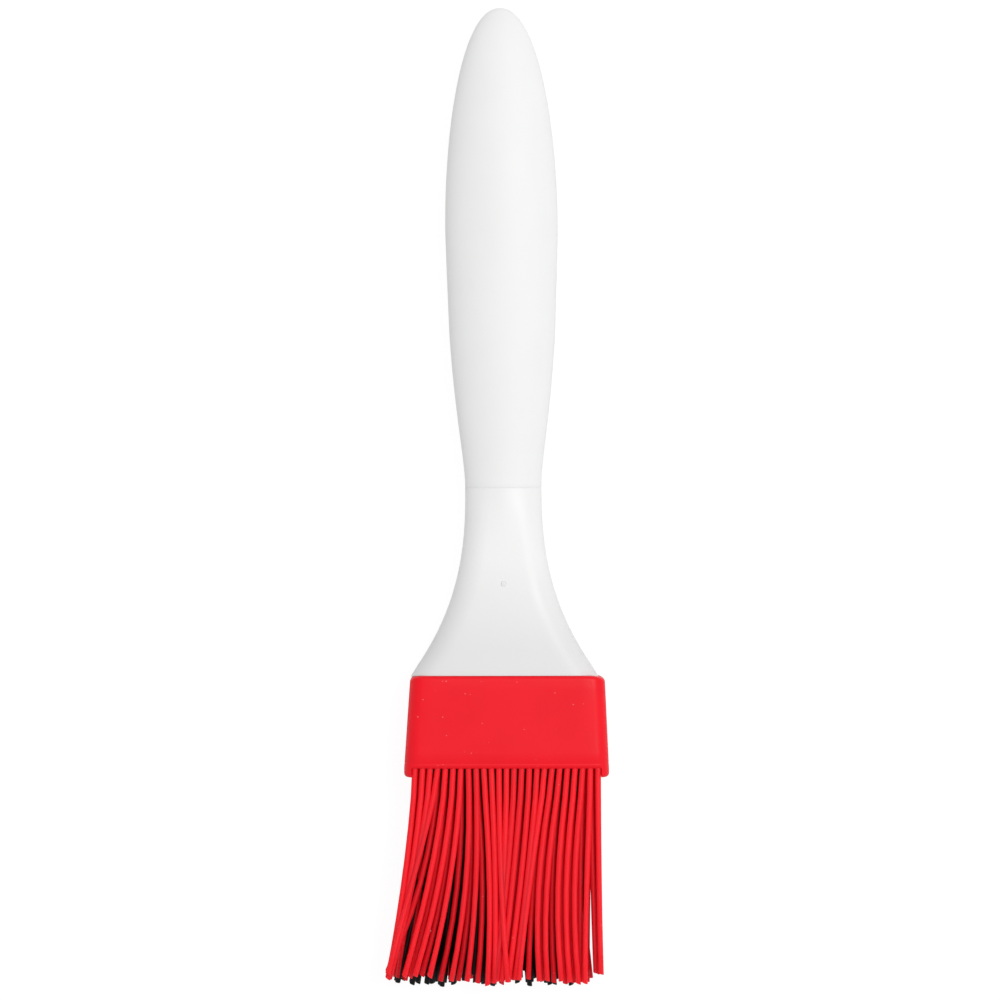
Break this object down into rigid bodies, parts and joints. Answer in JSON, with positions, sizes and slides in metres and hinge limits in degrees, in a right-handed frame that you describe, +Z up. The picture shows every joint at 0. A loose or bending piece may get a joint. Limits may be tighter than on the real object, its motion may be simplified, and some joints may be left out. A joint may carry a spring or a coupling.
{
  "type": "pastry brush",
  "caption": "Silicone pastry brush: oval white handle with waisted neck, flared red sleeve and rows of long tapered red bristles around a black core.",
  "frame": {"origin": "centre of the sleeve's flat back face, where the head lies on a table", "axes": "+Y along the brush towards the butt of the handle, +Z up out of the front face, +X to the right seen from the front with the handle up"},
  "size_m": [0.0493, 0.216, 0.0146],
  "materials": {
    "white_grip": "soft frosted matt white, slightly translucent at the edges",
    "white_core": "satin matt white moulded plastic",
    "red_silicone": "matt bright red silicone",
    "black_silicone": "matt black silicone"
  },
  "bodies": {
    "handle": {"grip": "white_grip", "handle_core": "white_core"},
    "head": {"sleeve": "red_silicone", "black_insert": "black_silicone"},
    "row_1": {"red_bristle_row_1": "red_silicone"},
    "row_2": {"red_bristle_row_2": "red_silicone"},
    "row_3": {"black_bristle_row_3": "black_silicone", "red_side_bristles_row_3": "red_silicone"},
    "row_4": {"black_bristle_row_4": "black_silicone", "red_side_bristles_row_4": "red_silicone"},
    "row_5": {"black_bristle_row_5": "black_silicone", "red_side_bristles_row_5": "red_silicone"},
    "row_6": {"black_bristle_row_6": "black_silicone", "red_side_bristles_row_6": "red_silicone"},
    "row_7": {"red_bristle_row_7": "red_silicone"},
    "row_8": {"red_bristle_row_8": "red_silicone"}
  },
  "joints": [
    {"name": "head_pull_off", "type": "slide", "parent": "handle", "child": "head", "axis": [0, -1, 0], "range_m": [0, 0.018]},
    {"name": "row_1_flex", "type": "hinge", "parent": "head", "child": "row_1", "pos_m": [0, -0.01032, 0.01353], "axis": [1, 0, 0], "range_deg": [-30, 30], "stiffness_Nm_per_rad": 0.01},
    {"name": "row_2_flex", "type": "hinge", "parent": "head", "child": "row_2", "pos_m": [0, -0.01032, 0.01175], "axis": [1, 0, 0], "range_deg": [-30, 30], "stiffness_Nm_per_rad": 0.01},
    {"name": "row_3_flex", "type": "hinge", "parent": "head", "child": "row_3", "pos_m": [0, -0.01032, 0.00997], "axis": [1, 0, 0], "range_deg": [-30, 30], "stiffness_Nm_per_rad": 0.01},
    {"name": "row_4_flex", "type": "hinge", "parent": "head", "child": "row_4", "pos_m": [0, -0.01032, 0.00819], "axis": [1, 0, 0], "range_deg": [-30, 30], "stiffness_Nm_per_rad": 0.01},
    {"name": "row_5_flex", "type": "hinge", "parent": "head", "child": "row_5", "pos_m": [0, -0.01032, 0.00641], "axis": [1, 0, 0], "range_deg": [-30, 30], "stiffness_Nm_per_rad": 0.01},
    {"name": "row_6_flex", "type": "hinge", "parent": "head", "child": "row_6", "pos_m": [0, -0.01032, 0.00463], "axis": [1, 0, 0], "range_deg": [-30, 30], "stiffness_Nm_per_rad": 0.01},
    {"name": "row_7_flex", "type": "hinge", "parent": "head", "child": "row_7", "pos_m": [0, -0.01032, 0.00285], "axis": [1, 0, 0], "range_deg": [-30, 30], "stiffness_Nm_per_rad": 0.01},
    {"name": "row_8_flex", "type": "hinge", "parent": "head", "child": "row_8", "pos_m": [0, -0.01032, 0.00108], "axis": [1, 0, 0], "range_deg": [-30, 30], "stiffness_Nm_per_rad": 0.01}
  ],
  "couplings": [
    {"joint": "row_2_flex", "follows": "row_1_flex", "ratio": 1},
    {"joint": "row_3_flex", "follows": "row_1_flex", "ratio": 1},
    {"joint": "row_4_flex", "follows": "row_1_flex", "ratio": 1},
    {"joint": "row_5_flex", "follows": "row_1_flex", "ratio": 1},
    {"joint": "row_6_flex", "follows": "row_1_flex", "ratio": 1},
    {"joint": "row_7_flex", "follows": "row_1_flex", "ratio": 1},
    {"joint": "row_8_flex", "follows": "row_1_flex", "ratio": 1}
  ]
}
